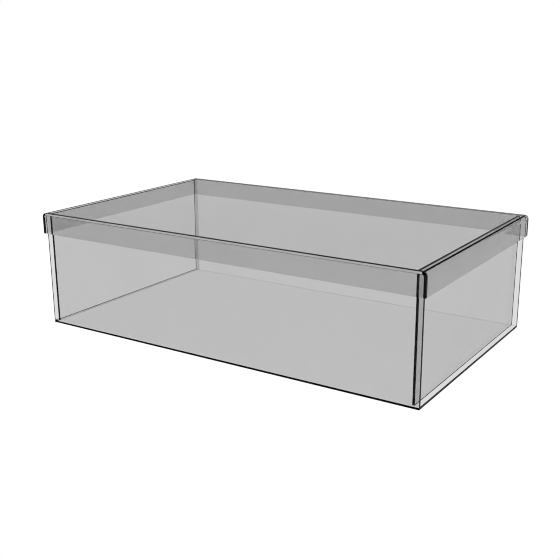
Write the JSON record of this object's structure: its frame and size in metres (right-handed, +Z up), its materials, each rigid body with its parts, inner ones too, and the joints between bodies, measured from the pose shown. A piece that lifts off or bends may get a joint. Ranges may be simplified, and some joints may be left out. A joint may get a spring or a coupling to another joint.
{
  "type": "shoe box",
  "caption": "Low clear tinted acrylic shoe box: panelled tray with end walls set in from the ends, and a lift-off lid with a short skirt all round.",
  "frame": {"origin": "centre of the underside, on the surface that the box stands on", "axes": "+X to the right along the long side, +Y to the rear, +Z up"},
  "size_m": [0.3546, 0.2076, 0.0985],
  "materials": {
    "tinted_sheet": "polished clear grey acrylic sheet"
  },
  "bodies": {
    "box": {"floor_panel": "tinted_sheet", "front_wall": "tinted_sheet", "rear_wall": "tinted_sheet", "left_end_wall": "tinted_sheet", "right_end_wall": "tinted_sheet"},
    "lid": {"lid_panel": "tinted_sheet", "lid_front_skirt": "tinted_sheet", "lid_rear_skirt": "tinted_sheet"}
  },
  "joints": [
    {"name": "lid_lift", "type": "slide", "parent": "box", "child": "lid", "axis": [0, 0, 1], "range_m": [0, 0.12]}
  ]
}
